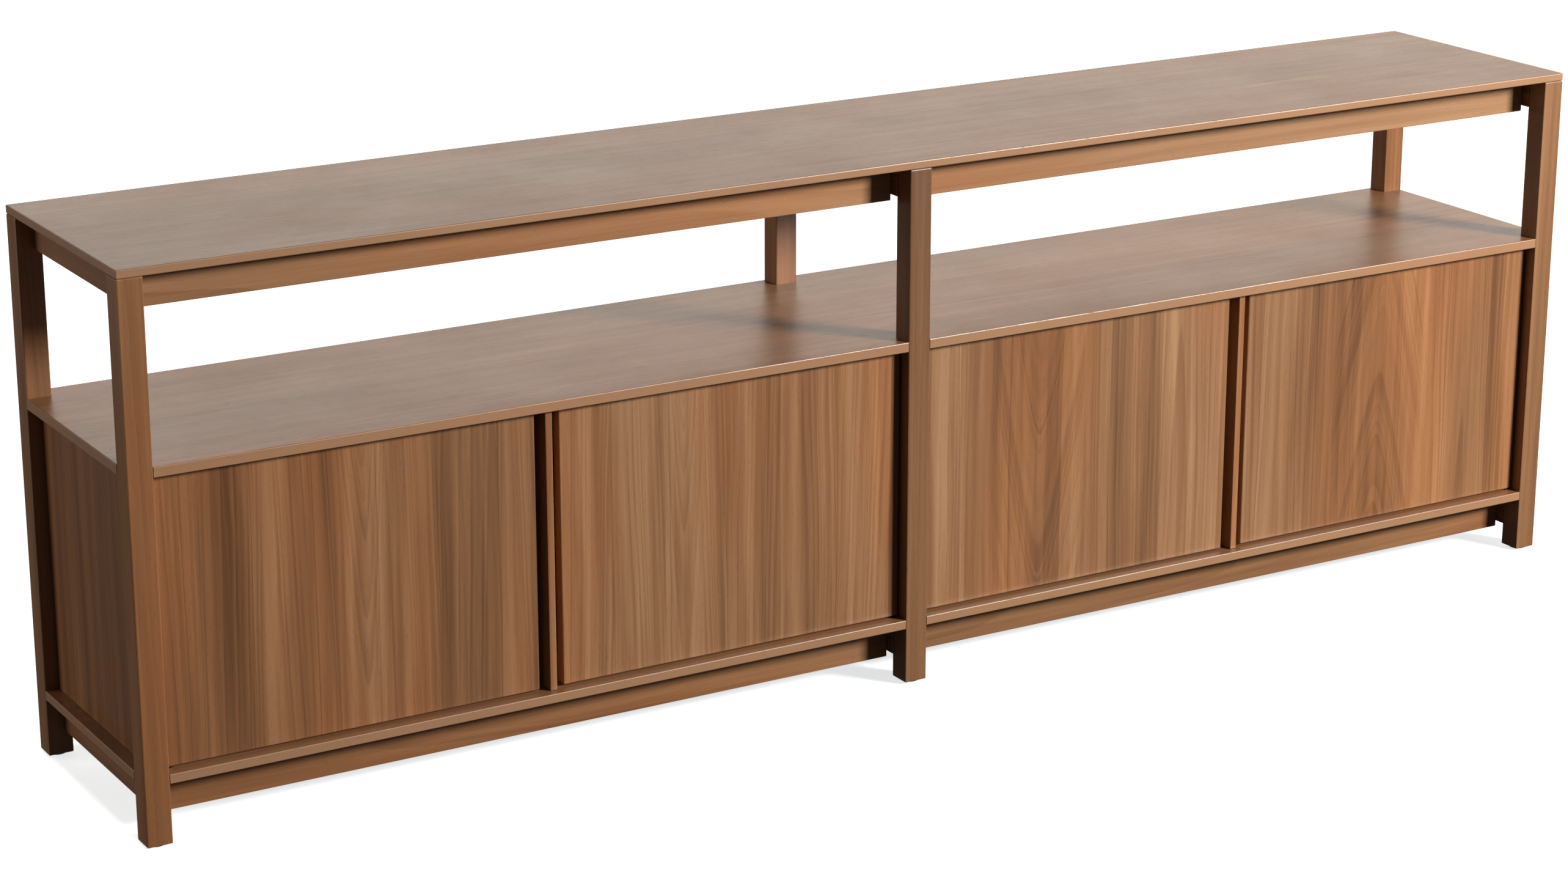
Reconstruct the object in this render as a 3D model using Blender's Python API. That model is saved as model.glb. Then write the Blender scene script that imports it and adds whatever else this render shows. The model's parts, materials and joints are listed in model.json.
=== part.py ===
"""Long walnut media cabinet: six square posts carry a thin top, an open upper tier,
a notched shelf, and two closed bays with a pair of pin-hung doors each."""

import bpy

# ---------------------------------------------------------------- driving dimensions, metres
LENGTH = 2.464          # overall, along X
DEPTH = 0.420           # overall, along Y
HEIGHT = 0.809          # floor to top surface
GAP = 0.0003            # clearance left between pieces that touch

POST = 0.037            # square section of every post
GLIDE_H = 0.003         # nylon glide under each post
GLIDE_R = 0.013

TOP_T = 0.012           # top panel, lies over the posts
SHELF_T = 0.015         # open shelf, notched round the posts
SHELF_TOP = 0.538
BOTTOM_T = 0.014        # floor of the closed bays, notched round the posts
BOTTOM_TOP = 0.1035

CROSS_T = 0.012         # thickness of the end cross rails
UPPER_CROSS_Z = 0.750   # underside of the upper cross rails
LOWER_CROSS_Z = 0.038   # underside of the lower cross rails
LONG_T = 0.019          # thickness of the long rails
LONG_SET = 0.053        # long rail face, behind the front of the posts
UPPER_LONG_Z = 0.741    # underside of the upper long rails
LOWER_LONG_Z = 0.029    # underside of the lower long rails

END_SET = 0.020         # end panels, in from the outer faces of the posts
END_T = 0.016
WALL_T = 0.019          # centre partition and bay dividers
WALL_SET = 0.045        # front edge of a divider, behind the front of the posts
BACK_T = 0.008
BACK_SET = 0.012        # back panels, in from the rear faces of the posts
SLOT_W, SLOT_H = 0.110, 0.050   # cable slots in the back panels
SLOT_Z = 0.205

INNER_T = 0.016         # fixed inner shelves, housed in grooves
INNER_Z = 0.306
HOUSING = 0.005
INNER_Y = (-0.160, 0.165)

DOOR_T = 0.019
DOOR_SET = 0.020        # door faces, behind the front of the posts
DOOR_SIDE = 0.0025      # door edge to post
DOOR_END = 0.0025       # door to shelf, and door to bottom
DOOR_PAIR = 0.038       # between a pair, with the stile in the middle
STILE_W = 0.011         # stile on the front edge of a divider, between a pair of doors
STILE_SET = 0.013       # its face, behind the front of the posts
PIVOT_IN = 0.0065       # hinge axis, in from the door's edge and from its face
PIN_R = 0.003
PIN_FIT = 0.0001
PIN_IN_PANEL = 0.006
PIN_IN_DOOR = 0.012
COLLAR_R = 0.0055

WALNUT_DARK = (0.150, 0.078, 0.041, 1.0)
WALNUT = (0.235, 0.122, 0.066, 1.0)
WALNUT_PALE = (0.330, 0.205, 0.125, 1.0)
PLY = (0.250, 0.150, 0.085, 1.0)
STEEL = (0.55, 0.55, 0.56, 1.0)
NYLON = (0.018, 0.018, 0.018, 1.0)

# ---------------------------------------------------------------- places worked out from them
X0, X1 = -LENGTH / 2, LENGTH / 2
Y0, Y1 = -DEPTH / 2, DEPTH / 2
TOP_UNDER = HEIGHT - TOP_T
SHELF_UNDER = SHELF_TOP - SHELF_T
BOTTOM_UNDER = BOTTOM_TOP - BOTTOM_T
HALF = POST / 2
BAY_IN, BAY_OUT = HALF, X1 - POST           # |x| of a bay's two ends, at the posts
BAY_MID = (BAY_IN + BAY_OUT) / 2
SIDES = (("left", -1), ("right", 1))


def clear():
    for old in list(bpy.data.objects):
        bpy.data.objects.remove(old, do_unlink=True)


def paint(obj, colour, roughness=0.45, metallic=0.0):
    material = bpy.data.materials.new(obj.name + "_finish")
    material.use_nodes = True
    shader = material.node_tree.nodes["Principled BSDF"]
    shader.inputs["Base Color"].default_value = colour
    shader.inputs["Roughness"].default_value = roughness
    shader.inputs["Metallic"].default_value = metallic
    material.diffuse_color = colour
    obj.data.materials.clear()
    obj.data.materials.append(material)


def block(name, x, y, z):
    """A plain block between two limits on each axis."""
    (xa, xb), (ya, yb), (za, zb) = sorted(x), sorted(y), sorted(z)
    bpy.ops.mesh.primitive_cube_add(
        size=1, location=((xa + xb) / 2, (ya + yb) / 2, (za + zb) / 2)
    )
    obj = bpy.context.object
    obj.name = obj.data.name = name
    obj.scale = (xb - xa, yb - ya, zb - za)
    bpy.ops.object.transform_apply(location=False, rotation=False, scale=True)
    return obj


def cylinder(name, radius, x, y, z, sides=40):
    """An upright cylinder between two heights."""
    bpy.ops.mesh.primitive_cylinder_add(
        vertices=sides, radius=radius, depth=abs(z[1] - z[0]), location=(x, y, sum(z) / 2)
    )
    obj = bpy.context.object
    obj.name = obj.data.name = name
    return obj


def as_cutter(obj):
    obj.hide_render = True
    obj.display_type = "WIRE"
    return obj


def boolean(obj, other, operation="DIFFERENCE"):
    as_cutter(other)
    step = obj.modifiers.new(operation.lower() + "_" + other.name, "BOOLEAN")
    step.operation = operation
    step.object = other
    step.solver = "EXACT"


def soften(obj, width, segments=2, angle=0.6):
    """Breaks the arrises of a piece."""
    step = obj.modifiers.new("arris", "BEVEL")
    step.width = width
    step.segments = segments
    step.limit_method = "ANGLE"
    step.angle_limit = angle
    step.use_clamp_overlap = True


def board(name, x, y, z, colour=WALNUT, arris=0.001, roughness=0.42):
    obj = block(name, x, y, z)
    soften(obj, arris)
    paint(obj, colour, roughness)
    return obj


def mirror_x(x, sign):
    return (sign * x[0], sign * x[1])


# ---------------------------------------------------------------- frame
def posts():
    columns = (("left", X0 + HALF), ("centre", 0.0), ("right", X1 - HALF))
    for row, y in (("front", Y0 + HALF), ("back", Y1 - HALF)):
        for side, x in columns:
            place = (x - HALF, x + HALF), (y - HALF, y + HALF)
            board(f"post_{row}_{side}", *place, (GLIDE_H, TOP_UNDER - GAP), WALNUT, 0.0018)
            foot = cylinder(f"glide_{row}_{side}", GLIDE_R, x, y, (0.0, GLIDE_H - GAP))
            soften(foot, 0.0008)
            paint(foot, NYLON, 0.6)


def top():
    board("top_panel", (X0, X1), (Y0, Y1), (TOP_UNDER, HEIGHT), WALNUT_PALE, 0.0015, 0.32)


def cross_rails():
    """Rails that join each front post to the post behind it."""
    y = (Y0 + POST + GAP, Y1 - POST - GAP)
    spans = (
        ("left", (-BAY_OUT - CROSS_T, -BAY_OUT)),
        ("centre", (-HALF, HALF)),
        ("right", (BAY_OUT, BAY_OUT + CROSS_T)),
    )
    levels = (
        ("upper", (UPPER_CROSS_Z, TOP_UNDER - GAP)),
        ("lower", (LOWER_CROSS_Z, BOTTOM_UNDER - GAP)),
    )
    for level, z in levels:
        for side, x in spans:
            board(f"{level}_cross_rail_{side}", x, y, z, WALNUT, 0.0012)


def long_rails():
    """Deeper rails behind the posts, from one cross rail to the next."""
    levels = (
        ("upper", (UPPER_LONG_Z, TOP_UNDER - GAP)),
        ("lower", (LOWER_LONG_Z, BOTTOM_UNDER - GAP)),
    )
    rows = (
        ("front", (Y0 + LONG_SET, Y0 + LONG_SET + LONG_T)),
        ("back", (Y1 - LONG_SET - LONG_T, Y1 - LONG_SET)),
    )
    for level, z in levels:
        for row, y in rows:
            for side, sign in SIDES:
                x = mirror_x((BAY_IN + GAP, BAY_OUT - GAP), sign)
                board(f"{level}_rail_{row}_{side}", x, y, z, WALNUT, 0.0012)


def notched_panel(name, z, colour, roughness):
    """A full-length panel, flush with the posts all round and cut away for each of them."""
    panel = block(name, (X0, X1), (Y0, Y1), z)
    soften(panel, 0.0012)
    for row, y in (("front", Y0), ("back", Y1)):
        for side, x in (("left", X0), ("centre", 0.0), ("right", X1)):
            reach = HALF if side == "centre" else POST
            notch = block(
                f"{name}_notch_{row}_{side}",
                (x - reach - GAP, x + reach + GAP),
                (y - POST - GAP, y + POST + GAP),
                (z[0] - 0.01, z[1] + 0.01),
            )
            boolean(panel, notch)
    paint(panel, colour, roughness)
    return panel


# ---------------------------------------------------------------- case
def groove(wall, name, x):
    """A stopped housing that takes the end of an inner shelf."""
    cutter = block(
        name,
        x,
        (INNER_Y[0] - GAP, INNER_Y[1] + GAP),
        (INNER_Z - GAP, INNER_Z + INNER_T + GAP),
    )
    boolean(wall, cutter)


def walls():
    """End panels, the centre partition and one divider in each bay."""
    z = (BOTTOM_TOP + GAP, SHELF_UNDER - GAP)
    y = (Y0 + POST + GAP, Y1 - POST - GAP)
    bite = HOUSING + GAP
    for side, sign in SIDES:
        outer, inner = X1 - END_SET, X1 - END_SET - END_T
        end = board(f"end_panel_{side}", mirror_x((inner, outer), sign), y, z)
        groove(end, f"end_groove_{side}", mirror_x((inner - 0.01, inner + bite), sign))
        near, far = BAY_MID - WALL_T / 2, BAY_MID + WALL_T / 2
        front_to_back = (Y0 + WALL_SET, Y1 - BACK_SET - BACK_T - GAP)
        divider = board(f"divider_{side}", mirror_x((near, far), sign), front_to_back, z, PLY)
        for face, x in (("near", (near - 0.01, near + bite)), ("far", (far - bite, far + 0.01))):
            groove(divider, f"divider_groove_{side}_{face}", mirror_x(x, sign))
        x = mirror_x((BAY_MID - STILE_W / 2, BAY_MID + STILE_W / 2), sign)
        board(f"stile_{side}", x, (Y0 + STILE_SET, Y0 + WALL_SET - GAP), z, WALNUT, 0.001)
    partition = board("centre_partition", (-WALL_T / 2, WALL_T / 2), y, z, PLY)
    for side, sign in SIDES:
        x = mirror_x((WALL_T / 2 - bite, WALL_T / 2 + 0.01), sign)
        groove(partition, f"partition_groove_{side}", x)


def slot_cutter(name, x, y, z):
    """A cable slot with rounded ends, cut through a back panel."""
    cutter = block(name, (x - SLOT_W / 2, x + SLOT_W / 2), y, (z - SLOT_H / 2, z + SLOT_H / 2))
    step = cutter.modifiers.new("round_ends", "BEVEL")
    step.width = SLOT_H / 2 - 0.001
    step.segments = 8
    step.limit_method = "WEIGHT"
    weights = cutter.data.attributes.new("bevel_weight_edge", "FLOAT", "EDGE")
    for edge in cutter.data.edges:
        a, b = (cutter.data.vertices[i].co for i in edge.vertices)
        along_y = abs(a.x - b.x) < 1e-6 and abs(a.z - b.z) < 1e-6
        weights.data[edge.index].value = 1.0 if along_y else 0.0
    return cutter


def back_panels():
    y = (Y1 - BACK_SET - BACK_T, Y1 - BACK_SET)
    z = (BOTTOM_TOP + GAP, SHELF_UNDER - GAP)
    for side, sign in SIDES:
        x = mirror_x((BAY_IN + GAP, BAY_OUT - GAP), sign)
        panel = board(f"back_panel_{side}", x, y, z, PLY, 0.0006)
        for which, centre in (("in", (BAY_IN + BAY_MID) / 2), ("out", (BAY_OUT + BAY_MID) / 2)):
            through = (y[0] - 0.02, y[1] + 0.02)
            slot = slot_cutter(f"cable_slot_{side}_{which}", sign * centre, through, SLOT_Z)
            boolean(panel, slot)


def inner_shelves():
    """One fixed shelf half way up each of the four compartments."""
    wall_near = BAY_MID - WALL_T / 2 + HOUSING
    wall_far = BAY_MID + WALL_T / 2 - HOUSING
    end = X1 - END_SET - END_T + HOUSING
    centre = WALL_T / 2 - HOUSING
    number = 0
    for x in ((-end, -wall_far), (-wall_near, -centre), (centre, wall_near), (wall_far, end)):
        number += 1
        board(f"inner_shelf_{number}", x, INNER_Y, (INNER_Z, INNER_Z + INNER_T), PLY, 0.0008)


# ---------------------------------------------------------------- doors
def pin_with_collar(name, x, y, panel_face, door_edge):
    """A steel pin with a collar that fills the gap between the door and the panel."""
    up = 1 if panel_face > door_edge else -1
    z = (door_edge - up * (PIN_IN_DOOR - GAP), panel_face + up * (PIN_IN_PANEL - GAP))
    pin = cylinder(name, PIN_R, x, y, sorted(z), 32)
    collar = cylinder(
        name + "_collar", COLLAR_R, x, y, sorted((door_edge + up * GAP, panel_face - up * GAP)), 32
    )
    boolean(pin, collar, "UNION")
    paint(pin, STEEL, 0.3, 1.0)
    return pin


def pin_hole(obj, name, x, y, face, depth, out):
    """A blind hole from a face into the piece; out is +1 when the hole opens upward."""
    hole = cylinder(name, PIN_R + PIN_FIT, x, y, sorted((face + out * 0.004, face - out * depth)), 32)
    boolean(obj, hole)


def doors(shelf, bottom):
    z = (BOTTOM_TOP + DOOR_END, SHELF_UNDER - DOOR_END)
    y = (Y0 + DOOR_SET, Y0 + DOOR_SET + DOOR_T)
    pivot_y = y[0] + PIVOT_IN
    meeting_out = BAY_MID + DOOR_PAIR / 2
    meeting_in = BAY_MID - DOOR_PAIR / 2
    outer_hinge = BAY_OUT - DOOR_SIDE
    inner_hinge = BAY_IN + DOOR_SIDE
    layout = (
        (-outer_hinge, -meeting_out),
        (-inner_hinge, -meeting_in),
        (inner_hinge, meeting_in),
        (outer_hinge, meeting_out),
    )
    for number, (hinge_x, free_x) in enumerate(layout, 1):
        toward = 1 if free_x > hinge_x else -1
        pivot_x = hinge_x + toward * PIVOT_IN
        door = block(f"door_{number}", (hinge_x, free_x), y, z)
        soften(door, 0.002, 3)
        paint(door, WALNUT, 0.36)
        for end, face, edge, panel in (
            ("top", SHELF_UNDER, z[1], shelf),
            ("bottom", BOTTOM_TOP, z[0], bottom),
        ):
            out = 1 if end == "top" else -1
            tag = f"{number}_{end}"
            pin_hole(door, "door_hole_" + tag, pivot_x, pivot_y, edge, PIN_IN_DOOR, out)
            pin_hole(panel, "panel_hole_" + tag, pivot_x, pivot_y, face, PIN_IN_PANEL, -out)
            pin_with_collar("hinge_pin_" + tag, pivot_x, pivot_y, face, edge)
        bpy.ops.object.empty_add(type="PLAIN_AXES", location=(pivot_x, pivot_y, z[0]))
        hinge = bpy.context.object
        hinge.name = f"door_{number}_hinge_axis"
        bpy.context.view_layer.update()
        door.parent = hinge
        door.matrix_parent_inverse = hinge.matrix_world.inverted()


def main():
    clear()
    posts()
    top()
    cross_rails()
    long_rails()
    shelf = notched_panel("shelf_panel", (SHELF_UNDER, SHELF_TOP), WALNUT_PALE, 0.32)
    bottom = notched_panel("bottom_panel", (BOTTOM_UNDER, BOTTOM_TOP), WALNUT, 0.42)
    walls()
    back_panels()
    inner_shelves()
    doors(shelf, bottom)


main()
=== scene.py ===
"""Walnut media cabinet: finishes for every board, the small fittings, and a plain studio.

The frame is loaded first. Each operator then finishes or adds one group of pieces, and the panel
in the 3D view's sidebar lists them in the order in which they run."""

import json
import math
import random

import bmesh
import bpy
from bpy.props import FloatProperty, FloatVectorProperty, PointerProperty
from mathutils import Matrix, Vector

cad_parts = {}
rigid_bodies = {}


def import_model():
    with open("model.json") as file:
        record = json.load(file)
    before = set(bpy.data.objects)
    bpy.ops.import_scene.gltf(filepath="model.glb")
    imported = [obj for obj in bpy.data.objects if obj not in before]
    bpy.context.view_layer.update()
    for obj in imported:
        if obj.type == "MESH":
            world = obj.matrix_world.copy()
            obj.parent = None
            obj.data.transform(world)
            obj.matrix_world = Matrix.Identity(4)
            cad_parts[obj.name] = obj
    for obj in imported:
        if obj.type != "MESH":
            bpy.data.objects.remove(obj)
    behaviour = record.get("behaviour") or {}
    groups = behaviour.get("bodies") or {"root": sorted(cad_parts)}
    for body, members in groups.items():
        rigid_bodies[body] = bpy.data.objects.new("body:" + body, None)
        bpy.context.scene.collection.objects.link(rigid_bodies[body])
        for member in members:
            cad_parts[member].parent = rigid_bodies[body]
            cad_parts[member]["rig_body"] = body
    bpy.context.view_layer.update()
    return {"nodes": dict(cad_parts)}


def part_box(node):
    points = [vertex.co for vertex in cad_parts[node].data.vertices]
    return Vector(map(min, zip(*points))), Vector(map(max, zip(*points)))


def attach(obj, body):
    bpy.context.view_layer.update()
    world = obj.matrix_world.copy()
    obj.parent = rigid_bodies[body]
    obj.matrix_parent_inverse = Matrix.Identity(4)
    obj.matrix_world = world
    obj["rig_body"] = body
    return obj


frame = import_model()

bl_info = {
    "name": "Walnut media cabinet",
    "version": (1, 0, 0),
    "blender": (4, 5, 0),
    "location": "3D View > Sidebar > Cabinet",
    "description": "Finishes the boards of a walnut media cabinet and adds its fittings and studio",
    "category": "Object",
}

X, Y, Z = 0, 1, 2
MM = 0.001


# ---------------------------------------------------------------- settings
def length(name, description, default):
    return FloatProperty(
        name=name, description=description, default=default, min=0.0, unit="LENGTH", precision=4
    )


def colour(name, description, default):
    return FloatVectorProperty(
        name=name, description=description, default=default, size=3, min=0.0, max=1.0,
        subtype="COLOR",
    )


def factor(name, description, default, top=1.0):
    return FloatProperty(name=name, description=description, default=default, min=0.0, max=top)


class WalnutSettings(bpy.types.PropertyGroup):
    """Colours and figure of the oiled and lacquered walnut."""

    dark: colour("Dark grain", "Late wood lines and pores", (0.074, 0.029, 0.012))
    middle: colour("Heartwood", "The general colour of the boards", (0.270, 0.124, 0.053))
    pale: colour("Pale streaks", "The lightest streaks between the lines", (0.470, 0.258, 0.128))
    band: colour("Edge bands", "Paler bands on the edges of the boards", (0.40, 0.225, 0.125))
    worn: colour("Worn arris", "Where the finish is rubbed thin along an edge", (0.46, 0.27, 0.15))
    ring: length("Ring spacing", "Usual distance between two growth rings", 0.0098)
    leaf: length("Leaf width", "Width of one leaf of face veneer", 0.094)
    wander: length("Wander", "How far the fibres stray sideways", 0.011)
    arris: length("Arris wear", "Width of the lighter line along every edge", 0.0016)
    satin: factor("Satin", "Roughness of the lacquer", 0.36)
    sheen: factor("Gloss level", "Strength of the lacquer's reflection", 0.42)


class FittingSettings(bpy.types.PropertyGroup):
    """Sizes and colours of the metal and plastic fittings."""

    steel: colour("Steel", "Bright zinc plated steel", (0.56, 0.55, 0.53))
    # Pins: nearly black, so the hinge pins in the gap under the doors read as its shade and show no
    # glint. This is painted shade.
    pins: colour("Pins", "Blackened steel of the hinge pins", (0.045, 0.040, 0.036))
    nylon: colour("Nylon", "Dark moulded nylon", (0.022, 0.019, 0.017))
    head: length("Screw head", "Diameter of the pan heads on the back panels", 0.0078)
    flange: length("Grommet flange", "How far a grommet laps onto the back panel", 0.0045)
    wall: length("Grommet wall", "Thickness of the grommet's sleeve", 0.0016)
    catch: length("Catch length", "Length of a magnetic catch without its ears", 0.030)
    plate: length("Strike plate", "Thickness of the steel plate on the door", 0.001)
    bracket: length("Bracket leg", "Length of each leg of a top bracket", 0.018)


class StudioSettings(bpy.types.PropertyGroup):
    """Sweep, light and camera."""

    sweep: length("Sweep", "Radius of the pale floor before it curves up", 30.0)
    floor_colour: colour("Floor colour", "Pale floor", (0.62, 0.63, 0.64))
    glow: factor("Floor glow", "Light that the sweep itself gives off", 0.74, 4.0)
    fill: factor("Fill", "Strength of the light from all round", 0.06, 10.0)
    key: FloatProperty(name="Key light", default=475.0, description="Front right", unit="POWER")
    rear: FloatProperty(name="Rear light", default=145.0, description="Behind", unit="POWER")
    side: FloatProperty(name="Side light", default=62.0, description="Back left", unit="POWER")
    overhead: factor("Overhead", "Strength of the light that only the floor receives", 1.7, 10.0)
    lens: FloatProperty(name="Lens", default=83.6, description="Focal length in millimetres")
    eye: FloatVectorProperty(
        name="Camera place", description="Where the camera stands", size=3,
        default=(-2.81, -4.541, 1.993), subtype="TRANSLATION", unit="LENGTH",
    )
    yaw: FloatProperty(
        name="Yaw", description="Turned to the right of the depth axis",
        default=math.radians(30.76), unit="ROTATION",
    )
    pitch: FloatProperty(
        name="Pitch", description="Looking down", default=math.radians(17.39), unit="ROTATION"
    )


# ---------------------------------------------------------------- shader sockets as values
class Wire:
    """The output of a shader node. Python's operators on it add Math or Vector Math nodes."""

    def __init__(self, finish, socket):
        self.finish = finish
        self.socket = socket

    def _with(self, operation, first, second):
        wires = [side for side in (first, second) if isinstance(side, Wire)]
        several = any(wire.socket.type in ("VECTOR", "RGBA") for wire in wires)
        kind = "ShaderNodeVectorMath" if several else "ShaderNodeMath"
        return self.finish.node(kind, {"operation": operation}, {0: first, 1: second})

    def __add__(self, other):
        return self._with("ADD", self, other)

    def __radd__(self, other):
        return self._with("ADD", other, self)

    def __sub__(self, other):
        return self._with("SUBTRACT", self, other)

    def __rsub__(self, other):
        return self._with("SUBTRACT", other, self)

    def __mul__(self, other):
        return self._with("MULTIPLY", self, other)

    def __rmul__(self, other):
        return self._with("MULTIPLY", other, self)

    def __truediv__(self, other):
        return self._with("DIVIDE", self, other)

    def __rtruediv__(self, other):
        return self._with("DIVIDE", other, self)

    def __pow__(self, other):
        return self._with("POWER", self, other)


class Finish:
    """One material with its Principled shader, and the nodes that are added to it."""

    def __init__(self, name, roughness=0.4, metallic=0.0, gloss=0.5):
        self.material = bpy.data.materials.new(name)
        self.material.use_nodes = True
        self.tree = self.material.node_tree
        self.shader = self.tree.nodes["Principled BSDF"]
        self.set("Roughness", roughness)
        self.set("Metallic", metallic)
        self.set("Specular IOR Level", gloss)
        self.place = self.node("ShaderNodeTexCoord", out="Object")

    def set(self, socket, value):
        self._feed(self.shader.inputs[socket], value)

    def _feed(self, socket, value):
        if isinstance(value, Wire):
            self.tree.links.new(value.socket, socket)
        elif socket.type == "RGBA":
            socket.default_value = (*value, 1.0)[:4]
        elif socket.type == "VECTOR" and isinstance(value, (int, float)):
            socket.default_value = (value,) * 3
        else:
            socket.default_value = value

    def node(self, kind, settings=None, sockets=None, out=0):
        added = self.tree.nodes.new(kind)
        for name, value in (settings or {}).items():
            if name == "stops":
                self._stops(added.color_ramp, value)
            else:
                setattr(added, name, value)
        for socket, value in (sockets or {}).items():
            self._feed(added.inputs[socket], value)
        return Wire(self, added.outputs[out])

    @staticmethod
    def _stops(ramp, stops):
        while len(ramp.elements) < len(stops):
            ramp.elements.new(1.0)
        for element, (position, value) in zip(ramp.elements, stops):
            element.position = position
            element.color = (*value, 1.0) if isinstance(value, tuple) else (value, value, value, 1.0)

    def math(self, operation, *values):
        return self.node("ShaderNodeMath", {"operation": operation}, dict(enumerate(values)))

    def axes(self, vector):
        split = self.node("ShaderNodeSeparateXYZ", None, {0: vector})
        return [Wire(self, output) for output in split.socket.node.outputs]

    def vector(self, parts):
        return self.node("ShaderNodeCombineXYZ", None, dict(enumerate(parts)))

    def span(self, value, start, end):
        """0 at start, 1 at end, smooth between them."""
        return self.node(
            "ShaderNodeMapRange", {"interpolation_type": "SMOOTHSTEP", "clamp": True},
            {"Value": value, "From Min": start, "From Max": end},
        )

    def mix(self, first, second, share):
        return self.node(
            "ShaderNodeMix", {"data_type": "RGBA", "clamp_factor": True},
            {0: share, 6: first, 7: second}, out=2,
        )

    def mix_vector(self, first, second, share):
        return self.node(
            "ShaderNodeMix", {"data_type": "VECTOR"}, {0: share, 4: first, 5: second}, out=1
        )

    def ramp(self, value, stops, interpolation="LINEAR"):
        made = self.node("ShaderNodeValToRGB", {"stops": stops}, {0: value})
        made.socket.node.color_ramp.interpolation = interpolation
        return made

    def noise(self, vector, scale, shift, detail=2.0, roughness=0.5, out="Fac"):
        """Noise with its own scale along each axis; shift keeps two patterns apart."""
        placed = self.node(
            "ShaderNodeMapping", None, {"Vector": vector, "Location": shift, "Scale": scale}
        )
        return self.node(
            "ShaderNodeTexNoise", None,
            {"Vector": placed, "Scale": 1.0, "Detail": detail, "Roughness": roughness}, out=out,
        )

    def bump(self, height, strength, distance):
        self.set("Normal", self.node(
            "ShaderNodeBump", None,
            {"Height": height, "Strength": strength, "Distance": distance}, out="Normal",
        ))


# ---------------------------------------------------------------- walnut
class Board:
    """How one board is sawn or laid up: its fibres, its faces and the figure that shows."""

    def __init__(self, node, grain, thin, **look):
        self.node = node
        self.grain, self.thin = grain, thin
        self.across = 3 - grain - thin
        self.low, self.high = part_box(node)
        self.chance = random.Random(node)
        self.veneered = look.get("veneered", False)   # laid in leaves, with bands on its edges
        self.tone = look.get("tone", 0.0)             # lighter above 0, darker below
        self.streaks = look.get("streaks", 1.0)
        self.rings = look.get("rings", 1.0)
        self.gloss = look.get("gloss", 1.0)
        self.leaves = look.get("leaves", ())          # (start, tone) across a door
        self.crown = look.get("crown")                # a cathedral figure on a door
        self.bands = look.get("bands", 0.0)           # how far the edge bands are paler

    def stretched(self, fine, along):
        scale = [fine] * 3
        scale[self.grain] = along
        return scale

    def shift(self):
        return [self.chance.uniform(3.0, 60.0) for _ in range(3)]


def wood_place(finish, board, walnut):
    """Object coordinates, turned on the end bands and bent as the fibres wander."""
    place = finish.place
    parts = finish.axes(place)
    if board.veneered:
        swapped = list(parts)
        swapped[board.grain], swapped[board.across] = parts[board.across], parts[board.grain]
        turned = banded(finish, edge_distance(finish, board)[board.grain])
        place = finish.mix_vector(place, finish.vector(swapped), turned)
    stray = finish.noise(place, board.stretched(8.0, 1.5), board.shift(), 2.0, out="Color")
    return place + (stray - 0.5) * (2.0 * walnut.wander)


def edge_distance(finish, board):
    """Distance to the nearer of the two outer faces, along each axis."""
    parts = finish.axes(finish.place)
    return [
        finish.math("MINIMUM", part - board.low[i], board.high[i] - part)
        for i, part in enumerate(parts)
    ]


def banded(finish, reach):
    """1 on the edge band that covers a veneered board's edge, 0 on its faces."""
    return finish.span(reach, 0.7 * MM, 0.4 * MM)


def arris(finish, board, width):
    """1 on an edge of the board, fading to 0 at width from it."""
    x, y, z = edge_distance(finish, board)
    smaller = finish.math("MINIMUM", x, y)
    larger = finish.math("MAXIMUM", x, y)
    second = finish.math("MAXIMUM", smaller, finish.math("MINIMUM", larger, z))
    return finish.span(second, width, 0.0)


def ring_lines(finish, radius, spacing, shift):
    """Growth rings: a slow rise to a dark late-wood line, then a sharp end."""
    uneven = finish.noise(finish.vector([radius, 0.0, 0.0]), (34.0, 1.0, 1.0), shift, 2.0, 0.6)
    count = radius / spacing + uneven * 7.0
    phase = finish.math("FRACT", count)
    lot = finish.node(
        "ShaderNodeTexWhiteNoise", {"noise_dimensions": "1D"},
        {"W": finish.math("FLOOR", count) + shift[0]}, out="Value",
    )
    return finish.span(phase, 0.1, 0.9) * finish.span(phase, 1.0, 0.92) * (lot * 0.8 + 0.3)


def leaf_figure(finish, board, walnut, bent):
    """Rings through each leaf of veneer, or through the whole of a solid board.
    Gives the ring lines, the tone of each leaf and the joint between two leaves."""
    parts = finish.axes(bent)
    side = parts[board.across]
    along = parts[board.grain]
    taper = board.chance.uniform(0.012, 0.030) * board.chance.choice((-1, 1))
    if not board.veneered:
        middle = (board.low[board.across] + board.high[board.across]) / 2
        depth = (board.low[board.thin] + board.high[board.thin]) / 2
        off = board.chance.uniform(-0.03, 0.03)
        deep = board.chance.uniform(0.03, 0.07)
        sideways = side - (middle + off)
        inward = parts[board.thin] - (depth + deep)
        radius = finish.math("SQRT", sideways * sideways + inward * inward)
        lines = ring_lines(finish, radius + along * taper, walnut.ring, board.shift())
        return lines, 0.0, 0.0
    start = board.low[board.across] - board.chance.uniform(0.1, 0.9) * walnut.leaf
    count = finish.math("FLOOR", (side - start) / walnut.leaf)
    inside = side - start - (count + 0.5) * walnut.leaf
    draw = finish.node(
        "ShaderNodeTexWhiteNoise", {"noise_dimensions": "1D"},
        {"W": count + board.chance.uniform(5.0, 90.0)}, out="Color",
    )
    sway, depth, shade = finish.axes(draw)
    sideways = inside - (sway - 0.5) * (1.7 * walnut.leaf)
    deep = depth * 0.03 + 0.006
    radius = finish.math("SQRT", sideways * sideways + deep * deep)
    lines = ring_lines(finish, radius + along * taper, walnut.ring, board.shift())
    gap = walnut.leaf / 2 - finish.math("ABSOLUTE", inside)
    return lines, (shade - 0.5) * 0.16, finish.span(gap, 0.9 * MM, 0.2 * MM)


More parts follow.
